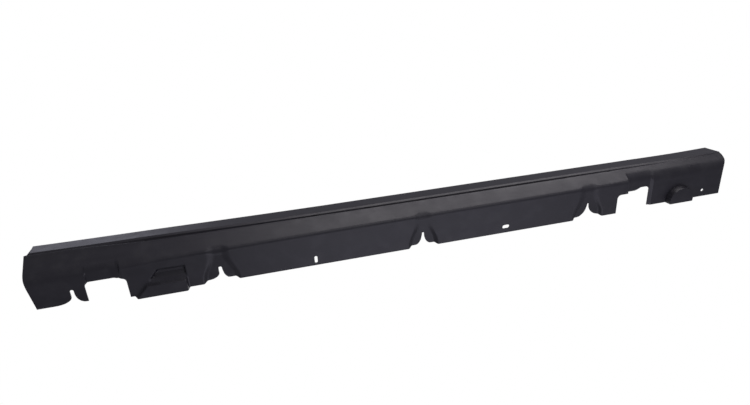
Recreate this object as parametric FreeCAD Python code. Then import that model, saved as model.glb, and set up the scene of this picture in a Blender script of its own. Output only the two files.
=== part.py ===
import FreeCAD, Part
import math
import os
from collections import namedtuple

from FreeCAD import Vector

# Side skirt: the moulded cover of a car's left sill, between its two wheel arches.
# x runs from the front end to the rear end, y from the outer face inboard, z up.

# Overall sizes in millimetres
LENGTH = 2250.0
WALL = 3.0
FLANGE_DEPTH = 137.0

# Places of the drawn sections: three from the front end, one at mid-length, three from the rear end
FRONT_SECTIONS = (170.0, 340.0, 640.0)
MIDDLE_SECTION = 0.49 * LENGTH
REAR_SECTIONS = (LENGTH - 650.0, LENGTH - 340.0, LENGTH - 130.0)

# Upper edge: the shoulder, the ledge behind it and the upstand that is clipped to the sill
SHOULDER_IN = 7.0
SHOULDER_RADIUS = 7.0
LEDGE_IN = 30.0
LEDGE_RISE = 6.0
LEDGE_RADIUS = 4.0
UPSTAND_FRONT = 12.0
UPSTAND_REAR = 36.0
UPSTAND_START = 115.0
UPSTAND_END_GAP = 290.0

# Trim groove and lower face
GROOVE_DEPTH = 8.0
GROOVE_SLOPE = 1.5
BEVEL_IN = 3.5
BEVEL_DROP = 7.0
LIP_IN = 3.0
EDGE_RADIUS = 2.2
RUN_OUT = 0.4
CORNER_RADIUS = 12.0

# Heights of the shoulder, of the groove's upper edge and of its lower lip above the panels
SHOULDER_FRONT = 160.0
SHOULDER_MIDDLE = 131.0
SHOULDER_REAR = 122.0
SHOULDER_TAIL = 130.0
GROOVE_TOP_FRONT = 100.0
GROOVE_TOP_MIDDLE = 73.0
GROOVE_TOP_REAR = 60.0
LIP_FRONT = 94.0
LIP_MIDDLE = 57.0
LIP_REAR = 51.0

# How far in from the outer face the lower corner lies
CORNER_FRONT = 42.0
CORNER_MIDDLE = 31.0
CORNER_REAR = 27.0

# Underside: level of the flange between its panels, above the panels' own level
BASE_LEVEL = 9.0
BASE_RADIUS = 40.0
RAMP = 12.0
EDGE_TRIM = 4.0
STAND_OFF = 1.5
PANEL_CLEARANCE = 0.5
FRONT_PANEL_START = 260.0
REAR_STEP_GAP = 381.0

# Valleys that lead across the flange to its notches, narrow at the corner and wide at the edge
VALLEYS = (0.2344 * LENGTH, 0.5102 * LENGTH, 0.7633 * LENGTH)
VALLEY_WIDTH = 56.0
VALLEY_MOUTH = 98.0
VALLEY_SPREAD = 70.0
VALLEY_LEVEL = 4.0

# Notches of the flange: place, width, depth, then length and depth of the left and right flares
Notch = namedtuple("Notch", "x width depth left_length left_depth right_length right_depth")
NOTCHES = (
    Notch(121.0, 10.0, 44.0, 36.0, 22.0, 26.0, 30.0),
    Notch(VALLEYS[0], 10.0, 42.0, 34.0, 20.0, 18.0, 34.0),
    Notch(VALLEYS[1], 7.0, 43.0, 21.0, 36.0, 22.0, 36.0),
    Notch(VALLEYS[2], 6.0, 48.0, 33.0, 42.0, 46.0, 43.0),
)

# Cut-outs over the two jacking points
FRONT_CUT_START = 157.0
FRONT_CUT_LENGTH = 113.0
REAR_CUT_END_GAP = 304.0
REAR_CUT_LENGTH = 123.0
FRONT_CUT_DEPTH = 59.0
REAR_CUT_DEPTH = 66.0
CUT_RADIUS = 12.0
FRONT_RECESS_START = 164.0
FRONT_RECESS_LENGTH = 75.0
REAR_RECESS_LENGTH = 84.0
RECESS_DEPTH = 5.0

# Pocket and the block that hangs down behind it
BLOCK_START = 283.0
BLOCK_LENGTH = 150.0
BLOCK_DROP = 12.0
BLOCK_FRONT = 102.0
BLOCK_DEPTH = 143.0
POCKET_FRONT = 62.0
POCKET_RISE = 14.0
POCKET_SLANT = 55.0
POCKET_DRAFT = 8.0
POCKET_REAR_DRAFT = 20.0

# Domed boss near the rear end
DOME_END_GAP = 185.0
DOME_HALF_LENGTH = 48.0
DOME_IN = 76.0
DOME_DROP = 21.0
DOME_DRAFT = 7.0

# Holes and slots
SCREW_HOLE_RADIUS = 5.0
SCREW_HOLE_GAP = 90.0
SCREW_HOLE_IN = 110.0
CLIP_SLOT_X = 0.359 * LENGTH
CLIP_SLOT_IN = 118.0
CLIP_SLOT_LENGTH = 24.0
CLIP_SLOT_WIDTH = 9.0
OVAL_HOLE_X = 0.6333 * LENGTH
TRIM_SLOT_START = 330.0
TRIM_SLOT_PITCH = 165.0
TRIM_SLOT_LENGTH = 14.0
TRIM_SLOT_WIDTH = 4.0
UPSTAND_SLOT_LENGTH = 16.0
UPSTAND_SLOT_WIDTH = 7.0

# Clip towers and ribs inside
TOWER_PITCH = 280.0
TOWER_LENGTH = 30.0
TOWER_DEPTH = 20.0
TOWER_HEIGHT = 26.0
TOWER_SLOT = 9.0
RIB_THICKNESS = 2.0
RIB_REACH = 30.0

# End outlines
FRONT_STEP = 8.5
GROOVE_STEP = 14.5
FRONT_RAKE = 22.5
REAR_TUCK = 36.0
REAR_TUCK_HEIGHT = 62.0
REAR_TUCK_BOW = 0.3

OVERSHOOT = 30.0

Station = namedtuple("Station", "x shoulder groove_top lip corner groove upstand")


def stations():
    """The sections that the skirt is drawn through, from the front end to the rear end."""
    flush = LIP_IN + RUN_OUT
    a, b, c = FRONT_SECTIONS
    d, e, f = REAR_SECTIONS
    return [
        Station(0, SHOULDER_FRONT, GROOVE_TOP_FRONT, LIP_FRONT, CORNER_FRONT, flush, UPSTAND_FRONT),
        Station(a, SHOULDER_FRONT - 6, GROOVE_TOP_FRONT - 5, LIP_FRONT - 8, CORNER_FRONT, flush,
                UPSTAND_FRONT),
        Station(b, SHOULDER_FRONT - 10, GROOVE_TOP_FRONT - 8, LIP_FRONT - 26, CORNER_FRONT - 7,
                GROOVE_DEPTH, UPSTAND_REAR - 12),
        Station(c, SHOULDER_MIDDLE + 10, GROOVE_TOP_MIDDLE + 7, LIP_MIDDLE + 8, CORNER_MIDDLE + 1,
                GROOVE_DEPTH, UPSTAND_REAR),
        Station(MIDDLE_SECTION, SHOULDER_MIDDLE, GROOVE_TOP_MIDDLE, LIP_MIDDLE, CORNER_MIDDLE,
                GROOVE_DEPTH, UPSTAND_REAR),
        Station(d, SHOULDER_REAR + 4, GROOVE_TOP_REAR + 12, LIP_REAR + 1, CORNER_REAR + 3,
                GROOVE_DEPTH, UPSTAND_REAR),
        Station(e, SHOULDER_REAR + 1, GROOVE_TOP_REAR + 5, LIP_REAR, CORNER_REAR + 1,
                GROOVE_DEPTH - 2, UPSTAND_REAR),
        Station(f, SHOULDER_REAR + 2, GROOVE_TOP_REAR, LIP_REAR, CORNER_REAR, flush, UPSTAND_REAR),
        Station(LENGTH, SHOULDER_TAIL, GROOVE_TOP_REAR + 2, LIP_REAR + 3, CORNER_REAR, flush,
                UPSTAND_REAR),
    ]


def station_at(x):
    """The section at any place along the skirt, between its two neighbours."""
    row = stations()
    for before, after in zip(row, row[1:]):
        if x <= after.x:
            break
    share = min(max((x - before.x) / (after.x - before.x), 0.0), 1.0)
    return Station(x, *[a + share * (b - a) for a, b in zip(before[1:], after[1:])])


def moved_sideways(points, distance):
    """An open line moved to its left by distance, with each corner slid along its mitre."""
    normals = []
    for (y0, z0), (y1, z1) in zip(points, points[1:]):
        size = math.hypot(y1 - y0, z1 - z0)
        normals.append((-(z1 - z0) / size, (y1 - y0) / size))
    moved = [(points[0][0] + distance * normals[0][0], points[0][1] + distance * normals[0][1])]
    for (y, z), (ay, az), (by, bz) in zip(points[1:], normals, normals[1:]):
        share = distance / (1 + ay * by + az * bz)
        moved.append((y + share * (ay + by), z + share * (az + bz)))
    y, z = points[-1]
    moved.append((y + distance * normals[-1][0], z + distance * normals[-1][1]))
    return moved


def closed_wire(x, points, radii):
    """A closed section at x with straight sides, and an arc at each corner that has a radius."""
    entry = []
    leave = []
    crown = []
    for i, (y, z) in enumerate(points):
        corner = Vector(x, y, z)
        before = (Vector(x, *points[i - 1]) - corner).normalize()
        after = (Vector(x, *points[(i + 1) % len(points)]) - corner).normalize()
        half_angle = before.getAngle(after) / 2
        inward = (before + after).normalize() if radii[i] else before
        centre = corner + inward * (radii[i] / math.sin(half_angle))
        entry.append(corner + before * (radii[i] / math.tan(half_angle)))
        leave.append(corner + after * (radii[i] / math.tan(half_angle)))
        crown.append(centre - inward * radii[i])
    edges = []
    for i, radius in enumerate(radii):
        if radius:
            edges.append(Part.Arc(entry[i], crown[i], leave[i]).toShape())
        edges.append(Part.LineSegment(leave[i], entry[(i + 1) % len(points)]).toShape())
    return Part.Wire(edges)


def outer_line(s):
    """The outer surface from the top of the upstand down and round to the flange's inner edge."""
    top = s.shoulder + LEDGE_RISE
    bevel_foot = max(s.groove_top - BEVEL_DROP, s.lip + 2 * GROOVE_SLOPE)
    points = [
        (LEDGE_IN, top + s.upstand),
        (LEDGE_IN, top),
        (SHOULDER_IN, s.shoulder),
        (0.0, s.groove_top),
        (BEVEL_IN, bevel_foot),
        (s.groove, bevel_foot - GROOVE_SLOPE),
        (s.groove, s.lip + (bevel_foot - s.lip) / 4),
        (LIP_IN, s.lip),
        (s.corner, 0.0),
        (BLOCK_DEPTH, 0.0),
    ]
    radii = [0, LEDGE_RADIUS, SHOULDER_RADIUS, EDGE_RADIUS, 0, 0, 0, 0, CORNER_RADIUS, 0]
    return points, radii


def filled_section(s, grow):
    """A closed section of all that lies inside the outer surface, or inside it less a wall."""
    points, radii = outer_line(s)
    extra = OVERSHOOT if grow else 0.0
    roof = points[0][1] + extra
    points[0] = (points[0][0], roof)
    points[-1] = (points[-1][0] + extra, 0.0)
    points = moved_sideways(points, grow)
    signs = [0, 1, -1, -1, 0, 0, 0, 0, -1, 0]
    radii = [max(r + sign * grow, 0.0) if r else 0.0 for r, sign in zip(radii, signs)]
    points.append((points[-1][0], roof))
    return closed_wire(s.x, points, radii + [0])


def filled_bar(grow):
    """The skirt's outer form as a full bar, or the hollow inside its wall."""
    row = stations()
    if grow:
        row[0] = row[0]._replace(x=-OVERSHOOT)
        row[-1] = row[-1]._replace(x=LENGTH + OVERSHOOT)
    return Part.makeLoft([filled_section(s, grow) for s in row], True, True)


def under_line(s, level, radius, grow, slope=0.0):
    """A closed section of the space under the flange at a level, with a rounded lower corner. The
    level rises inboard by slope over the flange's depth."""
    lean = (s.corner - LIP_IN) / s.lip
    corner = s.corner - level * lean - STAND_OFF
    rise = s.lip / 2 + BASE_LEVEL
    far = BLOCK_DEPTH + OVERSHOOT
    far_level = level + slope * (far - corner) / FLANGE_DEPTH
    points = [(corner - rise * lean, level + rise), (corner, level), (far, far_level)]
    points = moved_sideways(points, grow)
    points += [(points[-1][0], -2 * OVERSHOOT), (-OVERSHOOT, -2 * OVERSHOOT), (-OVERSHOOT, points[0][1])]
    return closed_wire(s.x, points, [0, radius - grow, 0, 0, 0, 0])


def raised_stretch(start, end, level, slope, grow, ramps):
    """The space under a stretch where the flange lies at a raised level, with sloped ends."""
    panel = (-PANEL_CLEARANCE, CORNER_RADIUS)
    base = (level, BASE_RADIUS)
    plan = [(start, panel), (start + RAMP, base), (end - RAMP, base), (end, panel)]
    if not ramps[0]:
        plan = [(start, base)] + plan[2:]
    if not ramps[1]:
        plan = plan[:-2] + [(end, base)]
    wires = [under_line(station_at(x), z, radius, grow, slope) for x, (z, radius) in plan]
    return Part.makeLoft(wires, True, True)


def raised_stretches(grow):
    """Front end, valleys at the notches with their wide mouths, and rear end."""
    half = VALLEY_WIDTH / 2
    slope = BASE_LEVEL - VALLEY_LEVEL
    rows = [(-OVERSHOOT, FRONT_PANEL_START, BASE_LEVEL, 0.0, (False, True))]
    rows += [(x - half, x + half, VALLEY_LEVEL, slope, (True, True)) for x in VALLEYS]
    rows += [(LENGTH - REAR_STEP_GAP - grow, LENGTH + OVERSHOOT, BASE_LEVEL, 0.0, (False, False))]
    stretches = [raised_stretch(start, end, level, rise, grow, ramps)
                 for start, end, level, rise, ramps in rows]
    return stretches + [valley_mouth(x, grow) for x in VALLEYS]


def valley_mouth(x, grow):
    """The space by which a valley widens towards the flange's edge."""
    narrow = VALLEY_WIDTH / 2 - RAMP / 2
    wide = VALLEY_MOUTH / 2
    inner = FLANGE_DEPTH - VALLEY_SPREAD
    outer = BLOCK_DEPTH + OVERSHOOT
    low = [(x - narrow, inner), (x + narrow, inner), (x + wide, outer), (x - wide, outer)]
    high = [(x - narrow + RAMP / 2, inner + RAMP), (x + narrow - RAMP / 2, inner + RAMP),
            (x + wide - RAMP, outer), (x - wide + RAMP, outer)]
    roof = (BASE_LEVEL + VALLEY_LEVEL) / 2
    return frustum(spread(low, grow), -PANEL_CLEARANCE, spread(high, grow), roof + grow)


def frustum(low, z_low, high, z_high):
    """A solid with flat sides between a low outline and a high outline of as many points."""
    wires = []
    for outline, z in ((low, z_low), (high, z_high)):
        points = [Vector(x, y, z) for x, y in outline]
        wires.append(Part.makePolygon(points + points[:1]))
    return Part.makeLoft(wires, True, True)


def spread(outline, amount):
    """A closed outline moved outwards by amount on every side."""
    count = len(outline)
    centre_x = sum(x for x, _ in outline) / count
    centre_y = sum(y for _, y in outline) / count
    moved = []
    for x, y in outline:
        size = math.hypot(x - centre_x, y - centre_y)
        share = amount / size
        moved.append((x + share * (x - centre_x), y + share * (y - centre_y)))
    return moved


def block(grow):
    """The block that hangs below the front panel, behind the pocket."""
    start = BLOCK_START + grow
    end = BLOCK_START + BLOCK_LENGTH - grow
    front = BLOCK_FRONT + grow
    rear = BLOCK_DEPTH + (OVERSHOOT if grow else 0)
    draft = POCKET_DRAFT - 2
    low = [(start + draft, rear), (start + POCKET_SLANT, front + draft), (end - draft, front + draft),
           (end - draft / 3, rear)]
    high = [(start, rear), (start + POCKET_SLANT - draft, front), (end, front), (end + draft / 3, rear)]
    return frustum(low, grow - BLOCK_DROP, high, WALL + 1 + grow)


def pocket(grow):
    """The space pressed up into the front panel, in front of the block."""
    start = BLOCK_START + POCKET_SLANT
    end = BLOCK_START + BLOCK_LENGTH
    front = POCKET_FRONT
    rear = BLOCK_FRONT + 1
    draft = POCKET_DRAFT
    low = [(start - draft, front), (end, front), (end, rear), (start - 4 * draft, rear + draft)]
    high = [(start + draft, front + draft), (end - draft, front + draft),
            (end - draft, rear - POCKET_REAR_DRAFT), (start, rear - POCKET_REAR_DRAFT)]
    return frustum(spread(low, grow), -PANEL_CLEARANCE, spread(high, grow), POCKET_RISE + grow)


def dome(grow):
    """The half-round boss that hangs below the flange near the rear end."""
    centre = LENGTH - DOME_END_GAP
    edge = FLANGE_DEPTH - EDGE_TRIM
    half = DOME_HALF_LENGTH - grow
    reach = edge - DOME_IN - grow
    out = Vector(0, OVERSHOOT if grow else 1, 0)
    wires = []
    for shrink, z in ((0.0, BASE_LEVEL + 1 + grow), (DOME_DRAFT, BASE_LEVEL - DOME_DROP + grow)):
        left = Vector(centre - half + shrink, edge, z)
        top = Vector(centre, edge - reach + 1.6 * shrink, z)
        right = Vector(centre + half - shrink, edge, z)
        rim = [right, right + out, left + out, left]
        edges = [Part.Arc(left, top, right).toShape()]
        edges += [Part.LineSegment(a, b).toShape() for a, b in zip(rim, rim[1:])]
        wires.append(Part.Wire(edges))
    return Part.makeLoft(wires, True, True)


def box(x0, x1, y0, y1, z0, z1):
    """A box between two corners."""
    return Part.makeBox(x1 - x0, y1 - y0, z1 - z0, Vector(x0, y0, z0))


def plan_cut(edges):
    """A closed plan outline cut straight down through the flange."""
    floor = Vector(0, 0, -BLOCK_DROP - OVERSHOOT)
    face = Part.Face(Part.Wire(edges))
    face.translate(floor)
    return face.extrude(Vector(0, 0, BLOCK_DROP + 2 * OVERSHOOT))


def flare(x, side, edge, half, length, depth):
    """A quarter ellipse from the notch's neck out to the flange's edge, on its left or right side."""
    rounding = 0.55
    neck = Vector(x + side * half, edge - depth, 0)
    mouth = Vector(x + side * (half + length), edge, 0)
    curve = Part.BezierCurve()
    curve.setPoles([neck, neck + Vector(0, rounding * depth, 0),
                    mouth - Vector(side * rounding * length, 0, 0), mouth])
    return curve.toShape(), neck, mouth


def notch(n, edge):
    """A narrow round-ended notch whose mouth flares out to the flange's edge."""
    half = n.width / 2
    top = edge - n.depth + half
    left, left_neck, left_mouth = flare(n.x, -1, edge, half, n.left_length, n.left_depth)
    right, right_neck, right_mouth = flare(n.x, 1, edge, half, n.right_length, n.right_depth)
    out = Vector(0, OVERSHOOT, 0)
    left_top = Vector(n.x - half, top, 0)
    right_top = Vector(n.x + half, top, 0)
    edges = [
        Part.Arc(left_top, Vector(n.x, top - half, 0), right_top).toShape(),
        Part.LineSegment(right_top, right_neck).toShape(),
        right,
        Part.LineSegment(right_mouth, right_mouth + out).toShape(),
        Part.LineSegment(right_mouth + out, left_mouth + out).toShape(),
        Part.LineSegment(left_mouth + out, left_mouth).toShape(),
        left,
        Part.LineSegment(left_neck, left_top).toShape(),
    ]
    return plan_cut(edges)


def jack_cut(start, length, depth, edge):
    """A cut-out over a jacking point, with rounded inner corners."""
    end = start + length
    inner = edge - depth
    r = CUT_RADIUS
    bow = r * (1 - math.sqrt(0.5))
    out = edge + OVERSHOOT
    edges = [
        Part.LineSegment(Vector(start, out, 0), Vector(start, inner + r, 0)).toShape(),
        Part.Arc(Vector(start, inner + r, 0), Vector(start + bow, inner + bow, 0),
                 Vector(start + r, inner, 0)).toShape(),
        Part.LineSegment(Vector(start + r, inner, 0), Vector(end - r, inner, 0)).toShape(),
        Part.Arc(Vector(end - r, inner, 0), Vector(end - bow, inner + bow, 0),
                 Vector(end, inner + r, 0)).toShape(),
        Part.LineSegment(Vector(end, inner + r, 0), Vector(end, out, 0)).toShape(),
        Part.LineSegment(Vector(end, out, 0), Vector(start, out, 0)).toShape(),
    ]
    return plan_cut(edges)


def slot(centre, length, width, along, through):
    """A round-ended slot, cut through a wall: along is its long direction, through its axis."""
    half = along * ((length - width) / 2)
    side = through.cross(along).normalize() * (width / 2)
    tip = along * (width / 2)
    a, b = centre - half, centre + half
    edges = [
        Part.LineSegment(a + side, b + side).toShape(),
        Part.Arc(b + side, b + tip, b - side).toShape(),
        Part.LineSegment(b - side, a - side).toShape(),
        Part.Arc(a - side, a - tip, a + side).toShape(),
    ]
    face = Part.Face(Part.Wire(edges))
    face.translate(through * -1.0)
    return face.extrude(through * 2.0)


def along_slots():
    """Slots for the trim strip's clips, in the groove, and for the sill clips, in the upstand."""
    cutters = []
    count = int((LENGTH - 2 * TRIM_SLOT_START) // TRIM_SLOT_PITCH) + 1
    for i in range(count):
        x = TRIM_SLOT_START + i * TRIM_SLOT_PITCH
        s = station_at(x)
        middle = Vector(x, s.groove, (s.groove_top + s.lip) / 2)
        cutters.append(slot(middle, TRIM_SLOT_LENGTH, TRIM_SLOT_WIDTH, Vector(1, 0, 0), Vector(0, 10, 0)))
        x += TRIM_SLOT_PITCH / 2
        if x < LENGTH - UPSTAND_END_GAP:
            s = station_at(x)
            middle = Vector(x, LEDGE_IN, s.shoulder + LEDGE_RISE + s.upstand / 2)
            cutters.append(slot(middle, UPSTAND_SLOT_LENGTH, UPSTAND_SLOT_WIDTH,
                                Vector(1, 0, 0), Vector(0, 10, 0)))
    return cutters


def flange_cuts():
    """Everything that is cut down through the flange: trimmed edges, notches, jack cuts and holes."""
    panel_edge = FLANGE_DEPTH
    base_edge = FLANGE_DEPTH - EDGE_TRIM
    block_end = BLOCK_START + BLOCK_LENGTH
    top = SHOULDER_REAR - WALL
    cutters = [
        box(-OVERSHOOT, BLOCK_START, base_edge, BLOCK_DEPTH + OVERSHOOT, -OVERSHOOT, top),
        box(block_end + 2, LENGTH + OVERSHOOT, panel_edge, BLOCK_DEPTH + OVERSHOOT, -OVERSHOOT, top),
        box(LENGTH - REAR_STEP_GAP, LENGTH + OVERSHOOT, base_edge, BLOCK_DEPTH + OVERSHOOT,
            -OVERSHOOT, top),
    ]
    half = VALLEY_MOUTH / 2 - RAMP / 2
    for x in VALLEYS:
        cutters.append(box(x - half, x + half, base_edge, BLOCK_DEPTH + OVERSHOOT, -OVERSHOOT, top))
    cutters += [notch(n, base_edge) for n in NOTCHES]
    cutters.append(jack_cut(FRONT_CUT_START, FRONT_CUT_LENGTH, FRONT_CUT_DEPTH, base_edge))
    rear_cut = LENGTH - REAR_CUT_END_GAP - REAR_CUT_LENGTH
    cutters.append(jack_cut(rear_cut, REAR_CUT_LENGTH, REAR_CUT_DEPTH, base_edge))
    down = Vector(0, 0, OVERSHOOT)
    screw = Vector(LENGTH - SCREW_HOLE_GAP, SCREW_HOLE_IN, 0)
    cutters.append(Part.makeCylinder(SCREW_HOLE_RADIUS, 2 * OVERSHOOT, screw - down))
    cutters.append(slot(Vector(CLIP_SLOT_X, CLIP_SLOT_IN, 0), CLIP_SLOT_LENGTH, CLIP_SLOT_WIDTH,
                        Vector(0, 1, 0), down * 0.5))
    cutters.append(slot(Vector(OVAL_HOLE_X, CLIP_SLOT_IN, 0), CLIP_SLOT_LENGTH, 1.5 * CLIP_SLOT_WIDTH,
                        Vector(1, 0, 0), down * 0.5))
    return cutters


def recesses(grow):
    """The two shallow recesses over the jack cut-outs, pressed into the lower corner."""
    rows = [(FRONT_RECESS_START, FRONT_RECESS_LENGTH), (LENGTH - REAR_STEP_GAP, REAR_RECESS_LENGTH)]
    parts = []
    for start, length in rows:
        wires = []
        for x in (start - grow, start + length + grow):
            s = station_at(x)
            wires.append(under_line(s, BASE_LEVEL + RECESS_DEPTH, BASE_RADIUS, grow))
        parts.append(Part.makeLoft(wires, True, True))
    return parts


def end_cuts():
    """The raked front end with its step at the groove, and the rear end that tucks in below."""
    far = BLOCK_DEPTH + 2 * OVERSHOOT
    roof = SHOULDER_FRONT + 3 * OVERSHOOT
    front = [(-OVERSHOOT, -2 * OVERSHOOT), (FRONT_STEP, -2 * OVERSHOOT), (FRONT_STEP, 0.0),
             (0.0, LIP_FRONT), (GROOVE_STEP, GROOVE_TOP_FRONT), (FRONT_STEP, SHOULDER_FRONT),
             (FRONT_STEP, roof), (-OVERSHOOT, roof)]
    points = [Vector(x, -OVERSHOOT, z) for x, z in front]
    front_face = Part.Face(Part.makePolygon(points + points[:1]))
    rake = [Vector(-OVERSHOOT, CORNER_FRONT, 0), Vector(FRONT_STEP, CORNER_FRONT, 0),
            Vector(FRONT_RAKE, BLOCK_DEPTH, 0), Vector(FRONT_RAKE, far, 0), Vector(-OVERSHOOT, far, 0)]
    rake_face = Part.Face(Part.makePolygon(rake + rake[:1]))
    rake_face.translate(Vector(0, 0, -2 * OVERSHOOT))
    out = LENGTH + OVERSHOOT
    tuck = LENGTH - REAR_TUCK
    start = Vector(LENGTH, -OVERSHOOT, REAR_TUCK_HEIGHT)
    end = Vector(tuck, -OVERSHOOT, 0.0)
    middle = Vector(LENGTH - REAR_TUCK_BOW * REAR_TUCK, -OVERSHOOT, REAR_TUCK_BOW * REAR_TUCK_HEIGHT)
    edges = [Part.Arc(start, middle, end).toShape()]
    rest = [end, Vector(tuck, -OVERSHOOT, -2 * OVERSHOOT), Vector(out, -OVERSHOOT, -2 * OVERSHOOT),
            Vector(out, -OVERSHOOT, REAR_TUCK_HEIGHT), start]
    edges += [Part.LineSegment(a, b).toShape() for a, b in zip(rest, rest[1:])]
    rear_face = Part.Face(Part.Wire(edges))
    across = Vector(0, far, 0)
    return [front_face.extrude(across), rake_face.extrude(Vector(0, 0, 3 * OVERSHOOT)),
            rear_face.extrude(across)]


def upstand_cuts():
    """What is cut away in front of and behind the ledge and its upstand."""
    rows = [(-OVERSHOOT, UPSTAND_START), (LENGTH - UPSTAND_END_GAP, LENGTH + OVERSHOOT)]
    parts = []
    for start, end in rows:
        wires = []
        for x in (start, end):
            s = station_at(x)
            low = s.shoulder - SHOULDER_RADIUS
            points = [(SHOULDER_IN + WALL, low), (BLOCK_DEPTH + 2 * OVERSHOOT, low),
                      (BLOCK_DEPTH + 2 * OVERSHOOT, low + 4 * OVERSHOOT),
                      (SHOULDER_IN + WALL, low + 4 * OVERSHOOT)]
            wires.append(closed_wire(x, points, [0, 0, 0, 0]))
        parts.append(Part.makeLoft(wires, True, True))
    return parts


def tower(x):
    """A clip tower on the inside of the upper face: a small open box with a slot in its rear wall."""
    s = station_at(x)
    low = (s.shoulder + s.groove_top - TOWER_HEIGHT) / 2
    high = low + TOWER_HEIGHT
    half = TOWER_LENGTH / 2
    rear = SHOULDER_IN / 2 + TOWER_DEPTH
    body = box(x - half, x + half, 0, rear, low, high)
    hollow = box(x - half + RIB_THICKNESS, x + half - RIB_THICKNESS, -1, rear - RIB_THICKNESS,
                 low - 1, high + 1)
    way = box(x - TOWER_SLOT / 2, x + TOWER_SLOT / 2, -1, rear + 1, low + TOWER_HEIGHT / 3, high + 1)
    return body.cut(hollow).cut(way)


def rib(x):
    """A thin upright rib that ties the lower face to the flange."""
    s = station_at(x)
    reach = s.corner + RIB_REACH
    points = [Vector(x, 0, s.lip), Vector(x, s.groove + WALL / 2, s.lip),
              Vector(x, reach, WALL + BASE_LEVEL * (x > LENGTH - REAR_STEP_GAP)), Vector(x, reach, 0),
              Vector(x, 0, 0)]
    face = Part.Face(Part.makePolygon(points + points[:1]))
    return face.extrude(Vector(RIB_THICKNESS, 0, 0))


def moved_in_form(grow):
    """The skirt's outer form as a full solid, or what lies inside it by grow."""
    form = filled_bar(grow).cut(raised_stretches(grow) + recesses(grow) + [pocket(grow)])
    return form.fuse([block(grow), dome(grow)])


def side_skirt():
    """The whole moulding: its outer form less the hollow inside, then what stands inside and is cut."""
    skirt = moved_in_form(0.0).cut(moved_in_form(WALL))
    middle_of_wall = moved_in_form(WALL / 2)
    inside = []
    count = int((LENGTH - 2 * TOWER_PITCH) // TOWER_PITCH) + 1
    for i in range(count):
        inside.append(tower(TOWER_PITCH * (i + 1)))
        inside.append(rib(TOWER_PITCH * (i + 1.5)))
    skirt = skirt.fuse([piece.common(middle_of_wall) for piece in inside])
    skirt = skirt.cut(flange_cuts() + along_slots() + end_cuts() + upstand_cuts())
    return skirt


skirt = side_skirt()
skirt.translate(Vector(-LENGTH / 2, -BLOCK_DEPTH / 2, BLOCK_DROP))
os.makedirs("parts", exist_ok=True)
skirt.exportStep("parts/side_skirt.step")
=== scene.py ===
import bpy
import numpy as np
from mathutils import Matrix, Vector


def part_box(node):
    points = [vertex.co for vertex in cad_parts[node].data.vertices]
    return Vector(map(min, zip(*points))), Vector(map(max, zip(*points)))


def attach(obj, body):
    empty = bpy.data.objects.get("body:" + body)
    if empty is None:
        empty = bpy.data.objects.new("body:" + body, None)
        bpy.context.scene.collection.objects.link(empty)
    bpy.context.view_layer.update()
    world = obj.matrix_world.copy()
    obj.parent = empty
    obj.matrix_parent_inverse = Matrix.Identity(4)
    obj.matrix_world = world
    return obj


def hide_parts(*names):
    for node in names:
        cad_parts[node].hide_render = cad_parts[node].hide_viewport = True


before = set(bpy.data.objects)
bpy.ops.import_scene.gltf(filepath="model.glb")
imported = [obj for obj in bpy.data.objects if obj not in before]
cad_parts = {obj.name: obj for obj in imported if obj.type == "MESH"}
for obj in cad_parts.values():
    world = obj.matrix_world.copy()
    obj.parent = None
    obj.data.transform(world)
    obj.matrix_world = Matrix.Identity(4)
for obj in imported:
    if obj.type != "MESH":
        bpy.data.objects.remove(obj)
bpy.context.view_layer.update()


# Side skirt shell
# The cover of a car's left sill: one thin-walled moulding of black plastic, injection moulded in a
# single shot. Its outer face carries the trim groove, the lower face turns under into a flange with
# raised panels, valleys, notches and cut-outs, and an upstand behind the shoulder clips to the sill.

MM = 0.001
low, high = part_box("side_skirt")
length = (high.x - low.x) / MM
block_drop = 12.0
block_depth = 143.0
outer_face = high.y / MM - block_depth
wall = 3.0
shoulder_in = 7.0
lip_in = 3.0
bevel_in, bevel_drop = 3.3, 7.0
ledge_in, ledge_rise = 30.0, 6.0
upstand_start, upstand_end = 118.0, length - 290.0
panel_edge = 138.5
base_edge = 133.0
base_level = 9.0
recess_rise = 5.0


def smooth_row(x, places, values):
    """A smooth line through given values: a cubic between each two places, whose slope at a place
    is the mean slope of its neighbours."""
    places = np.array(places, float)
    values = np.array(values, float)
    slopes = np.gradient(values, places)
    i = np.clip(np.searchsorted(places, x) - 1, 0, len(places) - 2)
    span = places[i + 1] - places[i]
    t = np.clip((x - places[i]) / span, 0.0, 1.0)
    rise = values[i + 1] - values[i]
    a = slopes[i] * span - rise
    b = rise - slopes[i + 1] * span
    return values[i] + t * rise + t * (1 - t) * (a * (1 - t) + b * t)


def step_up(distance, width):
    """Zero below, one above and a soft S between, over width, centred where distance is zero."""
    t = np.clip(distance / width + 0.5, 0.0, 1.0)
    return t * t * (3 - 2 * t)


stations = [0, 170, 340, 640, 0.49 * length, length - 650, length - 340, length - 130, length]


def shoulder(x):
    """Height of the upper edge above the panels, falling from the front and lifting at the tail."""
    return smooth_row(x, stations, [160, 154, 150, 141, 132, 129, 126, 125, 130])


def groove_top(x):
    """Height of the groove's upper edge."""
    return smooth_row(x, stations, [100, 95, 92, 80, 73, 69, 65, 60, 62])


def lip(x):
    """Height of the groove's lower lip."""
    return smooth_row(x, stations, [94, 86, 68, 64, 56, 51, 50, 51, 54])


def corner_in(x):
    """How far the lower corner lies in from the outer face."""
    return smooth_row(x, stations, [42, 42, 35, 32, 31, 30, 28, 27, 27])


def groove_in(x):
    """Depth of the trim groove, which runs out to a step at both ends."""
    return smooth_row(x, stations, [3.4, 3.4, 8, 8, 8, 8, 6, 3.4, 3.4])


def upstand_rise(x):
    """Height of the upstand above its ledge, low over the front wheel arch."""
    return smooth_row(x, [0, 170, 340, 640, length], [12, 12, 24, 34, 34])


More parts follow.
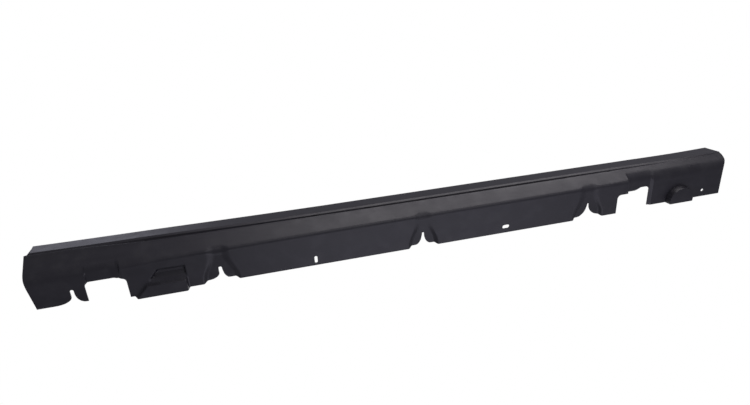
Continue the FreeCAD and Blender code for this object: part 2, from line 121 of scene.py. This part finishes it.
# Notches: place, half width, depth, then length and depth of the left and the right flare
notches = [
    (121.0, 5.0, 44.0, 46.0, 22.0, 26.0, 30.0),
    (0.2344 * length, 5.0, 42.0, 34.0, 20.0, 18.0, 36.0),
    (0.5102 * length, 3.5, 43.0, 21.0, 38.0, 22.0, 38.0),
    (0.7633 * length, 3.0, 48.0, 33.0, 44.0, 46.0, 45.0),
]
# Valleys: place, half width at the corner and at the flange's edge
valleys = [(0.2344 * length, 22.0, 46.0), (0.5102 * length, 20.0, 42.0), (0.7633 * length, 24.0, 48.0)]
# Jack cut-outs: start, end, how far in they reach, corner radius; recesses: start, end
jack_cuts = [(157.0, 270.0, 75.0, 12.0), (length - 427.0, length - 301.0, 67.0, 14.0)]
recesses = [(164.0, 239.0), (length - 388.0, length - 296.0)]
rear_cut_shift, rear_cut_gain, rear_cut_turn = 5.0, 9.0, 84.0
block_start, block_end, block_front, block_slant = 283.0, 433.0, 102.0, 0.95
pocket_start, pocket_front, pocket_rear = 341.0, 63.0, 100.0
pocket_rise, pocket_slant = 14.0, 0.8
dome_x, dome_half, dome_in, dome_draft = length - 185.0, 48.0, 76.0, 4.5
rear_step = length - 388.0
front_ramp = 254.0


def base_share(x, y):
    """How far the flange is raised to its base level: one at both ends, zero on the panels, and in
    the valleys rising from the lower corner to the flange's edge, towards which they spread."""
    share = np.maximum(step_up(front_ramp - x, 13.0), step_up(x - rear_step, 2.0))
    deep = 0.18 + 0.82 * np.clip((y - 50.0) / 75.0, 0.0, 1.0) ** 1.2
    for centre, narrow, wide in valleys:
        half = narrow + (wide - narrow) * step_up(y - 90.0, 75.0)
        ramp = 24.0 - 10.0 * step_up(y - 80.0, 60.0)
        share = np.maximum(share, deep * step_up(half - np.abs(x - centre), ramp))
    return share


def recess_share(x, y):
    """One inside the two shallow recesses over the jacking points, zero outside them."""
    share = 0.0
    for start, end in recesses:
        share = np.maximum(share, step_up(x - start, 3.0) * step_up(end - x, 3.0))
    return share


def flange_height(x, y, inset=0.0):
    """Height of the underside: the panels' level, plus the raised base and the recesses, the pocket
    pressed up into the front panel, and the block and the dome that hang down. For the inner
    surface each form is drawn in by inset, so that the wall stays as thick on slopes."""
    z = base_level * base_share(x, y) + recess_rise * recess_share(x, y)
    left = x - pocket_start + pocket_slant * (y - 80.0)
    inside = np.minimum(left / 10.0, (block_end - x) / 6.0)
    inside = np.minimum(inside, np.minimum((y - pocket_front) / 9.0, (pocket_rear - y) / 20.0))
    z = z + pocket_rise * step_up(inside + inset / 12.0 - 0.5, 1.0)
    left = (x - block_start - inset) - block_slant * np.maximum(block_front + 40.0 - y, 0.0)
    inside = np.minimum(left / 8.0, (block_end + 1.0 - inset - x) / 5.0)
    inside = np.minimum(inside, (y - block_front - inset) / 6.0)
    z = z + (-block_drop - z) * step_up(inside - 0.5, 1.0)
    reach = dome_half - np.hypot(x - dome_x, y - dome_in - dome_half) - inset
    z = z - (block_drop + base_level) * np.clip(reach / dome_draft, 0.0, 1.0)
    return z


def flange_edge(x):
    """The flange's inner edge in plan: set back where it is raised, further out on the block, cut in
    by the notches, whose mouths flare as quarter ellipses, and by the two jack cut-outs, of which the
    rear one has a shallower and a deeper half."""
    edge = panel_edge - (panel_edge - base_edge) * base_share(x, np.full_like(x, base_edge))
    on_block = step_up(x - block_start, 4.0) * step_up(block_end + 1.0 - x, 4.0)
    edge = edge + (block_depth - edge) * on_block
    for centre, half, deep, left_long, left_deep, right_long, right_deep in notches:
        away = np.abs(x - centre)
        right = x > centre
        long = np.where(right, right_long, left_long)
        flare = np.where(right, right_deep, left_deep)
        u = np.clip((away - half) / long, 0.0, 1.0)
        mouth = flare * (1 - np.sqrt(1 - (1 - u) ** 2))
        round_end = half - np.sqrt(np.clip(half ** 2 - away ** 2, 0.0, None))
        edge = edge - np.where(away <= half, deep - round_end, mouth)
    for start, end, inner, radius in jack_cuts:
        near = np.minimum(x - start, end - x)
        t = np.clip(1 - near / radius, 0.0, 1.0)
        cut = inner + radius * (1 - np.sqrt(1 - t ** 2))
        if start > length / 2:
            cut = cut + rear_cut_shift - rear_cut_gain * step_up(x - start - rear_cut_turn, 10.0)
        edge = np.where(near > 0, cut, edge)
    return edge


def columns():
    """Places along the skirt where a cross-section is taken: 11 mm apart, closer where the forms
    change quickly, and a pair at each upright wall."""
    fine = np.linspace(0.0, length, 9001)
    spacing = np.full_like(fine, 11.0)
    busy = [(0, 40, 5.0), (90, 150, 2.5), (245, 262, 2.0), (280, 435, 2.6),
            (dome_x - 52, dome_x + 52, 2.0), (length - 130, length, 5.0)]
    busy += [(c - 60, c + 60, 2.8) for c, _, _ in valleys]
    busy += [(s, s + 12, 1.5) for s, _, _, _ in jack_cuts]
    busy += [(e - 12, e, 1.5) for _, e, _, _ in jack_cuts]
    for start, end, step in busy:
        spacing[(fine > start) & (fine < end)] = step
    count = np.concatenate([[0], np.cumsum(np.diff(fine) / spacing[1:])])
    places = np.interp(np.arange(np.ceil(count[-1])), count, fine)
    sharp = [block_start - 2, block_start + 2, block_end - 1, block_end + 3, rear_step - 1,
             rear_step + 1, upstand_start, upstand_end]
    for centre, half, *_ in notches:
        sharp += [centre - half, centre + half]
        places = np.append(places, centre + half * np.sin(np.linspace(-1.5, 1.5, 7)))
    for start, end, _, _ in jack_cuts:
        sharp += [start, end]
    for place in sharp:
        places = places[np.abs(places - place) > 0.7]
    places = np.append(places, [[p - 0.15, p + 0.15] for p in sharp])
    return np.unique(np.append(places, [0.0, length]))


def rounded(points, radii, arc_steps, run_steps):
    """Rows of points along a bent line with rounded corners. Each corner's arc is centred on the
    bisector and swept from one side's tangent point to the other's; each straight run between two
    arcs is divided evenly. All values have one entry per column."""
    rows = [points[0]]
    last = points[0]
    for k in range(1, len(points) - 1):
        before = points[k - 1] - points[k]
        after = points[k + 1] - points[k]
        before = before / np.linalg.norm(before, axis=1)[:, None]
        after = after / np.linalg.norm(after, axis=1)[:, None]
        half = np.arccos(np.clip((before * after).sum(1), -1, 1)) / 2
        r = np.broadcast_to(radii[k], half.shape)
        cut = (r / np.tan(half))[:, None]
        middle = before + after
        middle = middle / np.linalg.norm(middle, axis=1)[:, None]
        centre = points[k] + middle * (r / np.sin(half))[:, None]
        first = points[k] + before * cut
        final = points[k] + after * cut
        sweep = np.maximum(np.pi - 2 * half, 1e-4)
        for t in np.linspace(0, 1, run_steps[k - 1] + 1)[1:-1]:
            rows.append(last + t * (first - last))
        for t in np.linspace(0, 1, arc_steps[k] + 1):
            a = (np.sin((1 - t) * sweep) / np.sin(sweep))[:, None]
            b = (np.sin(t * sweep) / np.sin(sweep))[:, None]
            rows.append(centre + a * (first - centre) + b * (final - centre))
        last = final
    for t in np.linspace(0, 1, run_steps[-1] + 1)[1:]:
        rows.append(last + t * (points[-1] - last))
    return np.array(rows)


def moved_in(points, distance):
    """The bent line moved inwards by distance, each corner slid along its mitre."""
    along = np.diff(points, axis=0)
    along = along / np.linalg.norm(along, axis=2)[:, :, None]
    across = np.stack([-along[:, :, 1], along[:, :, 0]], axis=2)
    moved = points.copy()
    moved[0] += distance * across[0]
    moved[-1] += distance * across[-1]
    share = distance / (1 + (across[:-1] * across[1:]).sum(2))
    moved[1:-1] += share[:, :, None] * (across[:-1] + across[1:])
    return moved


def section_line(x):
    """The outer line of each section, from the upstand's top to the flange, and its corner radii."""
    banked = step_up(x - upstand_start, 6.0) * step_up(upstand_end - x, 6.0)
    stub_in, stub_rise = shoulder_in + wall + 0.5, 0.5
    ledge = stub_in + (ledge_in - stub_in) * banked
    top = shoulder(x) + stub_rise + (ledge_rise - stub_rise) * banked
    rise = 0.5 + banked * upstand_rise(x)
    probe = corner_in(x) + 9.0
    level = flange_height(x, probe)
    lean = (corner_in(x) - lip_in) / lip(x)
    corner = np.stack([corner_in(x) - lean * level, level], 1)
    across = groove_in(x)
    foot = np.maximum(groove_top(x) - bevel_drop, lip(x) + 3.0)
    line = [
        np.stack([ledge, top + rise], 1),
        np.stack([ledge, top], 1),
        np.stack([np.full_like(x, shoulder_in), shoulder(x)], 1),
        np.stack([np.zeros_like(x), groove_top(x)], 1),
        np.stack([np.full_like(x, bevel_in), foot], 1),
        np.stack([across, foot - 1.5], 1),
        np.stack([across, lip(x) + (foot - lip(x)) / 4], 1),
        np.stack([np.full_like(x, lip_in), lip(x)], 1),
        corner,
        np.stack([np.full_like(x, block_depth), level], 1),
    ]
    turn = 14.0 + 26.0 * np.minimum(base_share(x, probe) / 0.35, 1.0)
    turn = turn - 20.0 * recess_share(x, probe) * (x < 0.5 * length)
    radii = [0, 0.3 + 3.7 * banked, 7.0, 2.2, 0.8, 0.4, 0.4, 1.6, turn, 0]
    return np.array(line), radii


def on_dome_rim(x, y, inset):
    """Plan places near the dome's wall, moved to the nearest of the two circles that bound it."""
    away_x, away_y = x - dome_x, y - dome_in - dome_half
    radius = np.maximum(np.hypot(away_x, away_y), 1e-6)
    for circle in (dome_half - inset, dome_half - inset - dome_draft):
        scale = np.where(np.abs(radius - circle) < 1.6, circle / radius, 1.0)
        away_x, away_y, radius = away_x * scale, away_y * scale, radius * scale
    return dome_x + away_x, dome_in + dome_half + away_y


# End outlines: how far the front end lies back at each height, how much its flange rakes back, and how
# far the rear end tucks in below and rounds off above
front_heights, front_setbacks = [0, 94, 100, 160], [8.5, 0.3, 14.5, 8.5]
front_rake = 14.0
rear_tuck, rear_tuck_height, rear_round = 36.0, 62.0, 3.0
rim_inset, rim_round, rim_bevel = 0.6, 0.7, 0.2


def shell_mesh():
    """The moulding as one closed grid: every column is a loop that runs down the outer surface,
    round the flange's edge, back along the inner surface and over the upstand's top."""
    x = columns()
    line, radii = section_line(x)
    outer = rounded(line, radii, [0, 3, 5, 4, 3, 2, 2, 4, 9, 0], [3, 2, 6, 2, 2, 2, 2, 8, 1])
    inner_line = moved_in(line, wall)
    inner_radii = [0, radii[1] + wall, 4.0, 0.3, 0.3, 0.3, 0.3, 0.3, np.maximum(radii[8] - wall, 1), 0]
    inner = rounded(inner_line, inner_radii, [0, 2, 3, 1, 1, 1, 1, 1, 7, 0], [2, 2, 3, 1, 1, 1, 1, 4, 1])
    edge = flange_edge(x)
    rows = []
    for skin, steps, inset in ((outer, 36, 0.0), (inner, 28, wall)):
        start = skin[-2]
        t = np.linspace(0, 1, steps + 1)[1:, None]
        reach = edge - rim_inset
        y = start[:, 0] + t * (reach - start[:, 0])
        across, y = on_dome_rim(np.broadcast_to(x, y.shape), y, inset)
        y = np.minimum(y, reach)
        z = flange_height(across, y, inset) + inset
        z = z + (start[:, 1] - flange_height(x, start[:, 0], inset) - inset) * (1 - t) ** 4
        skin = np.concatenate([np.broadcast_to(x[None, :, None], skin[:-1, :, :1].shape), skin[:-1]], 2)
        rows.append(np.concatenate([skin, np.stack([across, y, z], 2)]))
    outer, inner = rows
    rim_low, rim_high = outer[-1, :, 2], inner[-1, :, 2]
    rim_x = outer[-1, :, 0]
    rim = np.array([
        np.stack([rim_x, edge - rim_bevel, rim_low + rim_bevel], 1),
        np.stack([rim_x, edge, rim_low + rim_round], 1),
        np.stack([rim_x, edge, rim_high - rim_round], 1),
        np.stack([rim_x, edge - rim_bevel, rim_high - rim_bevel], 1),
    ])
    loop = np.concatenate([outer, rim, inner[::-1]])
    x, y, z = loop[:, :, 0], loop[:, :, 1], loop[:, :, 2]
    front = np.interp(z, front_heights, front_setbacks)
    front = front + front_rake * np.clip((y - 42.0) / 101.0, 0, 1) * (z < 60)
    tuck = rear_tuck * np.clip((rear_tuck_height - z) / rear_tuck_height, 0.0, 1.0) ** 3.4
    tuck = tuck + rear_round * step_up(z - 82.0, 30.0)
    along = x + front * np.clip(1 - x / 60.0, 0, 1)
    along = along - tuck * np.clip(1 - (length - x) / 110.0, 0, 1)
    place = np.stack([along - length / 2, y + outer_face, z + block_drop], 2) * MM
    place = place.transpose(1, 0, 2)
    columns_count, ring = place.shape[:2]
    i = np.arange(columns_count - 1)[:, None] * ring
    j = np.arange(ring)[None, :]
    after = (j + 1) % ring
    quads = np.stack([i + j, i + after, i + ring + after, i + ring + j], 2).reshape(-1, 4)
    caps = [list(range(ring)), list(range((columns_count - 1) * ring, columns_count * ring))[::-1]]
    mesh = bpy.data.meshes.new("side_skirt_shell")
    mesh.from_pydata(place.reshape(-1, 3).tolist(), [], quads.tolist() + caps)
    mesh.validate()
    return mesh


def new_piece(name, mesh):
    """A mesh put into the scene as an object at the origin."""
    piece = bpy.data.objects.new(name, mesh)
    bpy.context.scene.collection.objects.link(piece)
    return piece


def slots(centres, long, wide, along, through, deep):
    """Round-ended bars, one at each centre: a racetrack outline of two half circles, long by wide,
    drawn along one direction and carried a distance deep both ways through the wall."""
    along, through = np.array(along, float), np.array(through, float)
    side = np.cross(through, along)
    turn = np.linspace(-np.pi / 2, np.pi / 2, 9)
    right = (long - wide) / 2 + wide / 2 * np.cos(turn)
    outline = np.concatenate([right, -right])
    height = np.concatenate([wide / 2 * np.sin(turn), -wide / 2 * np.sin(turn)])
    flat = outline[:, None] * along + height[:, None] * side
    both = np.concatenate([flat - deep * through, flat + deep * through])
    places = np.asarray(centres, float)[:, None, :] + both[None]
    n, count = len(outline), len(places)
    j = np.arange(n)
    sides = np.stack([j, (j + 1) % n, n + (j + 1) % n, n + j], 1)
    faces = []
    for k in range(count):
        first = 2 * n * k
        faces += (sides + first).tolist()
        faces += [list(range(first + n - 1, first - 1, -1)), list(range(first + n, first + 2 * n))]
    mesh = bpy.data.meshes.new("cutter")
    points = places.reshape(-1, 3) + [-length / 2, outer_face, block_drop]
    mesh.from_pydata((points * MM).tolist(), [], faces)
    return mesh


def cut_out(piece, cutter_mesh):
    """Cuts a mesh of closed bars out of a piece."""
    cutter = new_piece("cutter", cutter_mesh)
    cut = piece.modifiers.new("cut", "BOOLEAN")
    cut.operation = "DIFFERENCE"
    cut.solver = "EXACT"
    cut.object = cutter
    finished = bpy.data.meshes.new_from_object(piece.evaluated_get(bpy.context.evaluated_depsgraph_get()))
    piece.modifiers.remove(cut)
    piece.data = finished
    bpy.data.objects.remove(cutter)


shell = new_piece("side_skirt_shell", shell_mesh())

clip_x = 0.359 * length
oval_x = 0.6333 * length
screw_x = length - 90.0
trim_x = np.arange(330.0, length - 330.0 + 1.0, 165.0)
sill_x = trim_x + 82.5
sill_x = sill_x[sill_x < upstand_end]
trim_places = np.stack([trim_x, groove_in(trim_x), (groove_top(trim_x) + lip(trim_x)) / 2 - 1.5], 1)
sill_height = shoulder(sill_x) + ledge_rise + upstand_rise(sill_x) / 2
sill_places = np.stack([sill_x, np.full_like(sill_x, ledge_in), sill_height], 1)

# Places, length, width, long direction, direction through the wall, depth of the cut either way
along_x, inboard, up = (1, 0, 0), (0, 1, 0), (0, 0, 1)
for places, long, wide, along, through, deep in (
    ([(clip_x, 119.0, wall)], 24.0, 9.0, inboard, up, 12.0),
    ([(oval_x, 117.0, wall)], 24.0, 13.0, along_x, up, 12.0),
    ([(screw_x, 110.0, base_level)], 10.4, 10.0, along_x, up, 12.0),
    (trim_places, 14.0, 4.0, along_x, inboard, 9.0),
    (sill_places, 16.0, 7.0, along_x, inboard, 9.0),
):
    cut_out(shell, slots(places, long, wide, along, through, deep))

shell.data.polygons.foreach_set("use_smooth", np.ones(len(shell.data.polygons), bool))
shell.data.set_sharp_from_angle(angle=np.radians(40))

# The plastic: near black with a faint violet cast, a fine moulded grain, slow flow marks along the
# part, a painted highlight that lightens the convex edges, which are also a little less rough, and
# thin dust that dulls the gloss in patches.

plastic = bpy.data.materials.new("black_moulded_plastic")
plastic.use_nodes = True
nodes = plastic.node_tree.nodes
links = plastic.node_tree.links
shader = nodes["Principled BSDF"]


def noise(scale, detail, stretch=(1, 1, 1)):
    """Noise on Object coordinates, with its pattern stretched by scaling the coordinates."""
    mapping = nodes.new("ShaderNodeMapping")
    mapping.inputs["Scale"].default_value = stretch
    pattern = nodes.new("ShaderNodeTexNoise")
    pattern.inputs["Scale"].default_value = scale
    pattern.inputs["Detail"].default_value = detail
    links.new(place_on_part.outputs["Object"], mapping.inputs["Vector"])
    links.new(mapping.outputs["Vector"], pattern.inputs["Vector"])
    return pattern.outputs["Fac"]


def ranged(value, from_low, from_high, to_low, to_high):
    """A value carried from one range to another and held at its ends."""
    node = nodes.new("ShaderNodeMapRange")
    for socket, number in zip(node.inputs[1:5], (from_low, from_high, to_low, to_high)):
        socket.default_value = number
    links.new(value, node.inputs[0])
    return node.outputs[0]


def colour_mix(share, first, second):
    """A mix of two colours by a share; each is a fixed colour or another node's colour."""
    node = nodes.new("ShaderNodeMix")
    node.data_type = "RGBA"
    links.new(share, node.inputs["Factor"])
    for socket, colour in ((node.inputs[6], first), (node.inputs[7], second)):
        if isinstance(colour, tuple):
            socket.default_value = (*colour, 1)
        else:
            links.new(colour, socket)
    return node.outputs[2]


def plus(first, second):
    """The sum of two values."""
    node = nodes.new("ShaderNodeMath")
    links.new(first, node.inputs[0])
    links.new(second, node.inputs[1])
    return node.outputs[0]


place_on_part = nodes.new("ShaderNodeTexCoord")
# Pointiness picks out the convex edges, which get a painted highlight and a little less roughness.
painted_highlight_edges = nodes.new("ShaderNodeNewGeometry").outputs["Pointiness"]
flow_marks = noise(9.0, 3.0, (0.25, 3.0, 3.0))
dust = noise(26.0, 5.0)
grain = noise(1400.0, 2.0)

violet_black, flow_black = (0.0150, 0.0138, 0.0185), (0.0205, 0.0188, 0.0250)
# The second grey on this line is the painted highlight's colour for the convex edges.
dust_grey, painted_highlight_grey = (0.0330, 0.0320, 0.0360), (0.0620, 0.0590, 0.0700)
body = colour_mix(ranged(flow_marks, 0.35, 0.65, 0, 1), violet_black, flow_black)
body = colour_mix(ranged(dust, 0.50, 0.75, 0, 0.5), body, dust_grey)
# Painted highlight: the convex edges are lightened towards a light grey.
body = colour_mix(ranged(painted_highlight_edges, 0.53, 0.62, 0, 0.55), body, painted_highlight_grey)
gloss = plus(ranged(dust, 0.35, 0.70, 0.36, 0.46), ranged(flow_marks, 0.30, 0.70, -0.03, 0.03))
gloss = plus(gloss, ranged(painted_highlight_edges, 0.53, 0.62, 0.0, -0.06))
bump = nodes.new("ShaderNodeBump")
bump.inputs["Strength"].default_value = 0.20
bump.inputs["Distance"].default_value = 0.00005
links.new(grain, bump.inputs["Height"])
links.new(body, shader.inputs["Base Color"])
links.new(gloss, shader.inputs["Roughness"])
links.new(bump.outputs["Normal"], shader.inputs["Normal"])
shell.data.materials.append(plastic)
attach(shell, "root")
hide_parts("side_skirt")


# Clip towers and ribs
# Inside the shell and of the same shot of plastic: small open boxes behind the upper face, slotted
# for the sill's clips, and thin upright ribs that tie the lower face to the flange.

tower_pitch = 280.0
tower_long, tower_deep, tower_high = 30.0, 20.0, 26.0
rib_thick, rib_reach = 2.0, 30.0
clip_way = 9.0
tower_x = tower_pitch * np.arange(1, 8)
rib_x = tower_pitch * (np.arange(7) + 1.5)


def six_sided(corners):
    """Closed six-sided solids, each from its four corners low in x and the same four high in x,
    which run round from low y and z through high y, both high, to high z."""
    count = len(corners)
    faces = np.array([(0, 3, 2, 1), (4, 5, 6, 7), (0, 1, 5, 4), (1, 2, 6, 5), (2, 3, 7, 6), (3, 0, 4, 7)])
    faces = (faces[None] + 8 * np.arange(count)[:, None, None]).reshape(-1, 4)
    places = corners.reshape(-1, 3) + [-length / 2, outer_face, block_drop]
    mesh = bpy.data.meshes.new("tower")
    mesh.from_pydata((places * MM).tolist(), [], faces.tolist())
    return mesh


def prisms(x_low, x_high, outline):
    """Corners of upright prisms between two places in x, over an outline of four (y, z) points."""
    outline = np.array([np.broadcast_to(v, x_low.shape) for point in outline for v in point])
    outline = outline.reshape(4, 2, -1).transpose(2, 0, 1)
    sides = []
    for x in (x_low, x_high):
        sides.append(np.concatenate([np.broadcast_to(x[:, None, None], (len(x), 4, 1)), outline], 2))
    return np.concatenate(sides, 1)


tower_low = (shoulder(tower_x) + groove_top(tower_x) - tower_high) / 2
tower_top = tower_low + tower_high
lean = shoulder_in / (shoulder(tower_x) - groove_top(tower_x))
tower_rear = shoulder_in / 2 + tower_deep
in_wall_low = shoulder_in / 2 + wall / 2 - lean * tower_high / 2
in_wall_top = shoulder_in / 2 + wall / 2 + lean * tower_high / 2
towers = new_piece("clip_towers", six_sided(prisms(
    tower_x - tower_long / 2, tower_x + tower_long / 2,
    [(in_wall_low, tower_low), (tower_rear, tower_low), (tower_rear, tower_top), (in_wall_top, tower_top)])))
cut_out(towers, six_sided(prisms(
    tower_x - tower_long / 2 + rib_thick, tower_x + tower_long / 2 - rib_thick,
    [(-5.0, tower_low - 5), (tower_rear - rib_thick, tower_low - 5),
     (tower_rear - rib_thick, tower_top + 5), (-5.0, tower_top + 5)])))
cut_out(towers, six_sided(prisms(
    tower_x - clip_way / 2, tower_x + clip_way / 2,
    [(-5.0, tower_low + tower_high / 3), (tower_rear + 5, tower_low + tower_high / 3),
     (tower_rear + 5, tower_top + 5), (-5.0, tower_top + 5)])))

rib_low = flange_height(rib_x, corner_in(rib_x) + rib_reach) + wall / 2
rib_level = flange_height(rib_x, corner_in(rib_x) + 9.0)
rib_lean = (corner_in(rib_x) - lip_in) / lip(rib_x)
rib_foot = rib_level + 12.0
ribs = new_piece("ribs", six_sided(prisms(
    rib_x, rib_x + rib_thick,
    [(corner_in(rib_x) - rib_lean * rib_foot + 1.5, rib_foot),
     (corner_in(rib_x) + rib_reach, rib_low), (groove_in(rib_x) + wall / 2 + 1, lip(rib_x)),
     (lip_in + wall / 2, lip(rib_x))])))
for piece in (towers, ribs):
    piece.data.materials.clear()
    piece.data.materials.append(plastic)
    soften = piece.modifiers.new("moulded_edges", "BEVEL")
    soften.width = 0.3 * MM
    soften.segments = 1
    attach(piece, "root")
    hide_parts("side_skirt")


# Camera
# A pinhole fitted to the skirt's long edges in the photograph: it looks up at the underside from
# the outer side, a little behind the front end.

camera_data = bpy.data.cameras.new("camera")
camera_data.lens = 28.8
camera_data.sensor_width = 36.0
camera_data.clip_end = 50.0
camera = new_piece("camera", camera_data)
right = Vector((0.96972, 0.05401, -0.23818))
down = Vector((-0.15051, 0.90021, -0.40863))
forward = Vector((0.19234, 0.43210, 0.88108))
camera.matrix_world = Matrix.Translation((-0.4675, -0.8804, -1.5555)) @ Matrix(
    (right, -down, -forward)).transposed().to_4x4()
bpy.context.scene.camera = camera


# Studio
# A pale floor under the skirt that is seen only from above, a white surround for the camera, and
# five soft lamps: a wide one before the outer face, and weaker ones below it, under the flange, above
# the front end and behind.

floor_half, floor_level = 6.0, -0.001
floor_turns = ((-1, -1), (1, -1), (1, 1), (-1, 1))
floor_corners = [(x * floor_half, y * floor_half, floor_level) for x, y in floor_turns]
floor_mesh = bpy.data.meshes.new("floor")
floor_mesh.from_pydata(floor_corners, [], [(0, 1, 2, 3)])
floor = new_piece("floor", floor_mesh)
paper = bpy.data.materials.new("pale_floor")
paper.use_nodes = True
nodes = paper.node_tree.nodes
links = paper.node_tree.links
surface = nodes["Principled BSDF"]
surface.inputs["Base Color"].default_value = (0.86, 0.86, 0.86, 1)
surface.inputs["Roughness"].default_value = 0.8
clear = nodes.new("ShaderNodeBsdfTransparent")
side = nodes.new("ShaderNodeNewGeometry")
path = nodes.new("ShaderNodeLightPath")
seen = nodes.new("ShaderNodeMath")
seen.operation = "SUBTRACT"
seen.use_clamp = True
mix = nodes.new("ShaderNodeMixShader")
links.new(path.outputs["Is Camera Ray"], seen.inputs[0])
links.new(side.outputs["Backfacing"], seen.inputs[1])
links.new(seen.outputs[0], mix.inputs[0])
links.new(clear.outputs[0], mix.inputs[1])
links.new(surface.outputs[0], mix.inputs[2])
links.new(mix.outputs[0], nodes["Material Output"].inputs["Surface"])
floor.data.materials.append(paper)

world = bpy.data.worlds.new("surround")
bpy.context.scene.world = world
world.use_nodes = True
nodes = world.node_tree.nodes
links = world.node_tree.links
backdrop = nodes["Background"]
backdrop.inputs["Color"].default_value = (1, 1, 1, 1)
ambient = nodes.new("ShaderNodeBackground")
ambient.inputs["Color"].default_value = (0.9, 0.9, 1.0, 1)
ambient.inputs["Strength"].default_value = 0.25
path = nodes.new("ShaderNodeLightPath")
mix = nodes.new("ShaderNodeMixShader")
links.new(path.outputs["Is Camera Ray"], mix.inputs[0])
links.new(ambient.outputs[0], mix.inputs[1])
links.new(backdrop.outputs[0], mix.inputs[2])
links.new(mix.outputs[0], nodes["World Output"].inputs["Surface"])

# Lamps: name, place, width, height, brightness of the face, colour
for name, spot, width, height, brightness, colour in (
    ("key_softbox", (0.90, -2.30, 0.55), 2.8, 1.3, 2.6, (1.0, 0.96, 1.0)),
    ("low_softbox", (0.60, 1.10, -2.60), 2.6, 2.6, 1.0, (0.86, 0.84, 1.0)),
    ("bridge_softbox", (0.60, -2.10, -1.40), 2.6, 1.4, 0.9, (0.95, 0.93, 1.0)),
    ("front_softbox", (-1.60, -0.80, 2.40), 1.4, 1.4, 0.8, (0.85, 0.85, 1.0)),
    ("back_softbox", (0.50, 1.70, 1.90), 2.5, 2.5, 2.0, (1.0, 1.0, 1.0)),
):
    lamp = bpy.data.lights.new(name, "AREA")
    lamp.shape = "RECTANGLE"
    lamp.size = width
    lamp.size_y = height
    lamp.energy = brightness * np.pi * width * height
    lamp.color = colour
    softbox = new_piece(name, lamp)
    turn = Vector(spot).to_track_quat("Z", "Y").to_matrix().to_4x4()
    softbox.matrix_world = Matrix.Translation(spot) @ turn

bpy.context.scene.view_settings.view_transform = "Standard"
